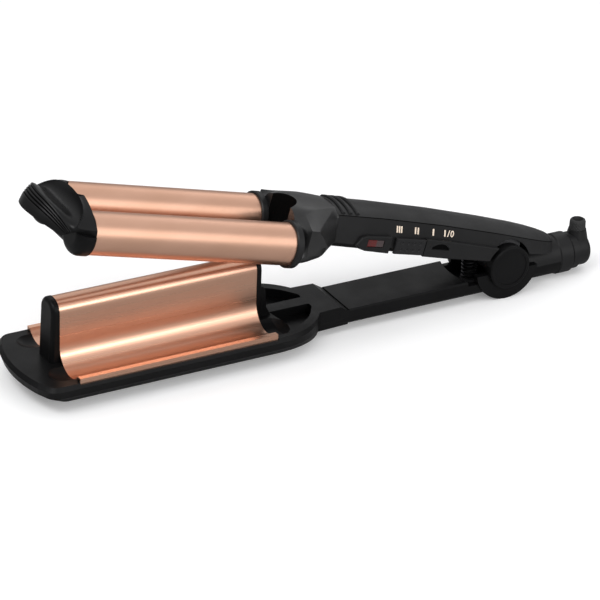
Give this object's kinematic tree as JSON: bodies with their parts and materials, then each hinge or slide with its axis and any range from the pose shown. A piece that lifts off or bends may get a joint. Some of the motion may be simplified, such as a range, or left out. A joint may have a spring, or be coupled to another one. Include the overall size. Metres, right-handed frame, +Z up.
{
  "type": "hair waver",
  "caption": "Hinged hair waver: two satin copper barrels close into a ridged wave plate; slide switch on the handle side, swivelling cord outlet at the tail.",
  "frame": {"origin": "on the resting plane, under the middle of the overall length, on the middle plane", "axes": "+X along the lower arm towards the cord outlet, +Z up with the waver standing on its lower housing, the switch on the -Y side"},
  "size_m": [0.3424, 0.0664, 0.1109],
  "materials": {
    "housing_black": "satin moulded",
    "handle_black": "satin moulded",
    "copper_plate": "satin anodised",
    "copper_barrel": "satin anodised",
    "switch_grey": "satin",
    "window_clear": "polished",
    "lamp_red": "polished",
    "steel": "bright",
    "aluminium_core": "as extruded",
    "heater_ceramic": "fired",
    "mica": "matt",
    "board_green": "solder mask",
    "inner_plastic": "matt",
    "boot_rubber": "matt"
  },
  "bodies": {
    "lower_arm": {"lower_shell": "housing_black", "plate_frame": "housing_black", "wave_plate": "copper_plate", "ridge_core": "aluminium_core", "ridge_heater": "heater_ceramic", "trough_heater_near": "heater_ceramic", "trough_heater_far": "heater_ceramic", "insulation_sheet": "mica", "plate_thermostat": "steel", "arm_cover": "housing_black", "housing_screws": "steel", "hinge_pin": "steel", "pivot_disc_near": "handle_black", "pivot_disc_far": "handle_black", "spring_post": "inner_plastic", "opening_spring": "steel", "tail_cover": "housing_black", "tail_ring": "housing_black"},
    "upper_arm": {"handle_cover": "handle_black", "handle_tub": "handle_black", "bank_nose": "handle_black", "bank_rear": "handle_black", "indicator_window": "window_clear", "slide_switch": "inner_plastic", "control_board": "board_green", "indicator_lamp": "lamp_red", "hinge_lug": "inner_plastic", "spring_seat": "inner_plastic", "shoulder_block": "handle_black", "thermal_fuse": "steel", "thumb_rest": "handle_black", "nose_cap": "handle_black", "barrel_near": "copper_barrel", "barrel_far": "copper_barrel", "barrel_collar_near": "handle_black", "barrel_collar_far": "handle_black", "barrel_heater_near": "heater_ceramic", "barrel_heater_far": "heater_ceramic", "heat_spreader_near": "aluminium_core", "heat_spreader_far": "aluminium_core"},
    "slider": {"power_slider": "switch_grey"},
    "cord_swivel": {"swivel_body": "housing_black", "swivel_cap": "housing_black", "cord_boot": "boot_rubber"}
  },
  "joints": [
    {"name": "arm_hinge", "type": "hinge", "parent": "lower_arm", "child": "upper_arm", "pos_m": [0.1118, 0, 0.0192], "axis": [0, -1, 0], "range_deg": [0, 14.7], "stiffness_Nm_per_rad": 1, "springref_deg": -34.38, "deforming": ["opening_spring"]},
    {"name": "power_slide", "type": "slide", "parent": "upper_arm", "child": "slider", "axis": [-0.9673, 0, 0.2538], "range_m": [0, 0.003]},
    {"name": "cord_swivel_turn", "type": "hinge", "parent": "lower_arm", "child": "cord_swivel", "pos_m": [0.1618, 0, 0.0114], "axis": [1, 0, 0], "continuous": true}
  ]
}
